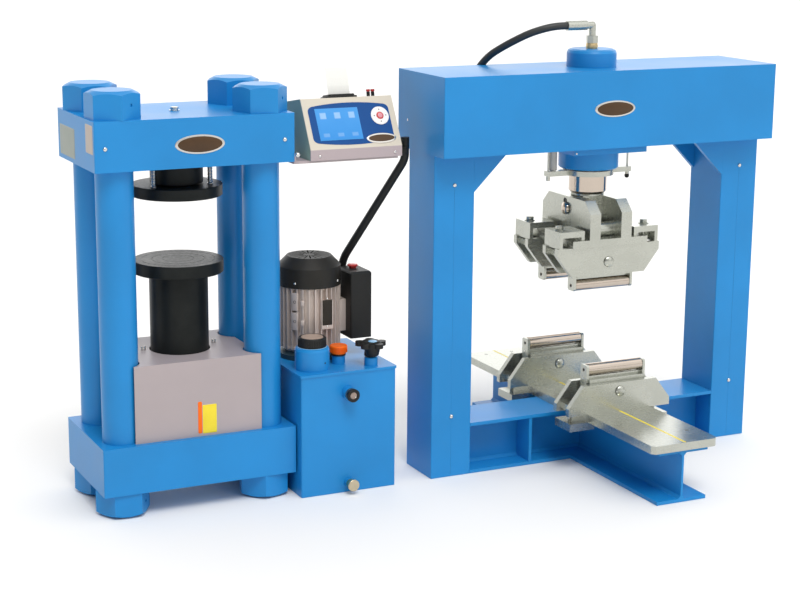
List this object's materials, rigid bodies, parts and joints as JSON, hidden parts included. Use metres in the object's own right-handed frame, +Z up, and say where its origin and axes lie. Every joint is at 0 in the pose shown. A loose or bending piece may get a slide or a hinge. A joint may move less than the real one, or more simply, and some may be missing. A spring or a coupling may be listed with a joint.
{
  "type": "concrete compression and flexure testing machine",
  "caption": "Column frame press with tilting platen, motor power pack and console, joined by hose to a portal frame with a roller bending device.",
  "frame": {"origin": "floor under the middle of the machine", "axes": "+X to the right along the crosshead and the portal beam, +Y from the operator to the back, +Z up"},
  "size_m": [1.7926, 0.967, 1.1245],
  "materials": {
    "machine_paint": "semi-gloss",
    "cover_paint": "satin",
    "black_steel": "black oxide, satin",
    "ground_steel": "ground",
    "plated_steel": "zinc plated",
    "motor_metal": "cast, blasted",
    "dark_cowl": "satin",
    "black_plastic": "satin",
    "red_plastic": "gloss",
    "orange_plastic": "gloss",
    "case_paint": "satin",
    "panel_paint": "satin",
    "blue_film": "satin",
    "lit_display": "gloss",
    "white_key": "satin",
    "paper": "matt",
    "brass": "turned",
    "hose_rubber": "satin",
    "clear_window": "gloss"
  },
  "bodies": {
    "machine": {"frame_base": "machine_paint", "crosshead": "machine_paint", "frame_columns": "machine_paint", "column_nuts": "machine_paint", "oil_tank": "machine_paint", "tank_lid": "machine_paint", "filter_housing": "machine_paint", "top_beam": "machine_paint", "portal_columns": "machine_paint", "base_beams": "machine_paint", "flexure_cylinder": "machine_paint", "cylinder_body": "black_steel", "guard_cover": "cover_paint", "ball_seat": "black_steel", "level_window": "clear_window", "drain_plug": "brass", "motor_body": "motor_metal", "fan_cowl": "dark_cowl", "pump_block": "black_steel", "starter_box": "black_plastic", "console_case": "case_paint", "console_front": "panel_paint", "keypad_membrane": "blue_film", "display": "lit_display", "printer": "black_plastic", "paper_strip": "paper", "console_terminals": "red_plastic", "console_bracket": "panel_paint", "cable_conduit": "black_plastic", "bearing_plate": "plated_steel", "hose_fitting": "plated_steel", "pressure_hose": "hose_rubber"},
    "press_ram": {"ram_piston": "ground_steel", "distance_piece": "black_steel", "lower_platen": "black_steel"},
    "seat_liner": {"seat_liner": "brass"},
    "upper_platen": {"upper_platen": "black_steel"},
    "stop_button": {"stop_button": "red_plastic"},
    "filter_cap": {"filter_cap": "black_plastic"},
    "filler_cap": {"filler_cap": "orange_plastic"},
    "release_knob": {"release_knob": "black_plastic"},
    "motor_rotor": {"motor_shaft": "ground_steel", "cooling_fan": "black_plastic"},
    "arrow_pad": {"arrow_pad": "white_key"},
    "enter_button": {"enter_button": "red_plastic"},
    "flexure_ram": {"flexure_ram": "ground_steel", "ram_yoke": "plated_steel", "ram_head": "plated_steel"},
    "rocker": {"rocker_beam": "plated_steel", "upper_roller_frames": "plated_steel"},
    "upper_front_carrier": {"upper_front_carrier": "plated_steel"},
    "upper_rear_carrier": {"upper_rear_carrier": "plated_steel"},
    "lower_front_carrier": {"lower_front_carrier": "plated_steel"},
    "lower_rear_carrier": {"lower_rear_carrier": "plated_steel"},
    "upper_front_roller": {"upper_front_roller": "ground_steel"},
    "upper_rear_roller": {"upper_rear_roller": "ground_steel"},
    "lower_front_roller": {"lower_front_roller": "ground_steel"},
    "lower_rear_roller": {"lower_rear_roller": "ground_steel"},
    "lower_front_support": {"lower_front_support": "plated_steel"},
    "lower_rear_support": {"lower_rear_support": "plated_steel"}
  },
  "joints": [
    {"name": "press_ram_slide", "type": "slide", "parent": "machine", "child": "press_ram", "axis": [0, 0, 1], "range_m": [0, 0.05]},
    {"name": "platen_tilt_x", "type": "hinge", "parent": "machine", "child": "seat_liner", "pos_m": [-0.6537, 0.1035, 0.7355], "axis": [1, 0, 0], "range_deg": [-2, 2], "stiffness_Nm_per_rad": 120},
    {"name": "platen_tilt_y", "type": "hinge", "parent": "seat_liner", "child": "upper_platen", "pos_m": [-0.6537, 0.1035, 0.7355], "axis": [0, 1, 0], "range_deg": [-2, 2], "stiffness_Nm_per_rad": 120},
    {"name": "stop_button_press", "type": "slide", "parent": "machine", "child": "stop_button", "axis": [0, 0, -1], "range_m": [0, 0.004], "stiffness_N_per_m": 1500, "springref_m": -0.002},
    {"name": "filter_cap_turn", "type": "hinge", "parent": "machine", "child": "filter_cap", "pos_m": [-0.3567, -0.0115, 0.361], "axis": [0, 0, 1], "range_deg": [0, 180]},
    {"name": "filler_cap_turn", "type": "hinge", "parent": "machine", "child": "filler_cap", "pos_m": [-0.2787, 0.0075, 0.327], "axis": [0, 0, 1], "range_deg": [0, 180]},
    {"name": "release_knob_turn", "type": "hinge", "parent": "machine", "child": "release_knob", "pos_m": [-0.2127, -0.0395, 0.327], "axis": [0, 0, 1], "range_deg": [0, 180]},
    {"name": "motor_spin", "type": "hinge", "parent": "machine", "child": "motor_rotor", "pos_m": [-0.3097, 0.1185, 0.4], "axis": [0, 0, 1], "continuous": true},
    {"name": "arrow_pad_press", "type": "slide", "parent": "machine", "child": "arrow_pad", "axis": [0, 0.8704, -0.4924], "range_m": [0, 0.0008], "stiffness_N_per_m": 2000, "springref_m": -0.001},
    {"name": "enter_button_press", "type": "slide", "parent": "machine", "child": "enter_button", "axis": [0, 0.8704, -0.4924], "range_m": [0, 0.0008], "stiffness_N_per_m": 2000, "springref_m": -0.001},
    {"name": "flexure_ram_slide", "type": "slide", "parent": "machine", "child": "flexure_ram", "axis": [0, 0, -1], "range_m": [0, 0.1], "stiffness_N_per_m": 4000, "springref_m": -0.35},
    {"name": "rocker_tilt", "type": "hinge", "parent": "flexure_ram", "child": "rocker", "pos_m": [0.4163, 0, 0.65], "axis": [1, 0, 0], "range_deg": [-2.5, 2.5]},
    {"name": "upper_front_carrier_tilt", "type": "hinge", "parent": "rocker", "child": "upper_front_carrier", "pos_m": [0.4163, -0.075, 0.526], "axis": [0, 1, 0], "range_deg": [-5, 5]},
    {"name": "upper_front_roller_spin", "type": "hinge", "parent": "upper_front_carrier", "child": "upper_front_roller", "pos_m": [0.4163, -0.075, 0.464], "axis": [1, 0, 0], "continuous": true},
    {"name": "lower_front_support_slide", "type": "slide", "parent": "machine", "child": "lower_front_support", "axis": [0, 1, 0], "range_m": [-0.27, 0.04]},
    {"name": "lower_front_carrier_tilt", "type": "hinge", "parent": "lower_front_support", "child": "lower_front_carrier", "pos_m": [0.4163, -0.15, 0.205], "axis": [0, 1, 0], "range_deg": [-5, 5]},
    {"name": "lower_front_roller_spin", "type": "hinge", "parent": "lower_front_carrier", "child": "lower_front_roller", "pos_m": [0.4163, -0.15, 0.261], "axis": [1, 0, 0], "continuous": true},
    {"name": "upper_rear_carrier_tilt", "type": "hinge", "parent": "rocker", "child": "upper_rear_carrier", "pos_m": [0.4163, 0.075, 0.526], "axis": [0, 1, 0], "range_deg": [-5, 5]},
    {"name": "upper_rear_roller_spin", "type": "hinge", "parent": "upper_rear_carrier", "child": "upper_rear_roller", "pos_m": [0.4163, 0.075, 0.464], "axis": [1, 0, 0], "continuous": true},
    {"name": "lower_rear_support_slide", "type": "slide", "parent": "machine", "child": "lower_rear_support", "axis": [0, 1, 0], "range_m": [-0.04, 0.27]},
    {"name": "lower_rear_carrier_tilt", "type": "hinge", "parent": "lower_rear_support", "child": "lower_rear_carrier", "pos_m": [0.4163, 0.15, 0.205], "axis": [0, 1, 0], "range_deg": [-5, 5]},
    {"name": "lower_rear_roller_spin", "type": "hinge", "parent": "lower_rear_carrier", "child": "lower_rear_roller", "pos_m": [0.4163, 0.15, 0.261], "axis": [1, 0, 0], "continuous": true}
  ]
}
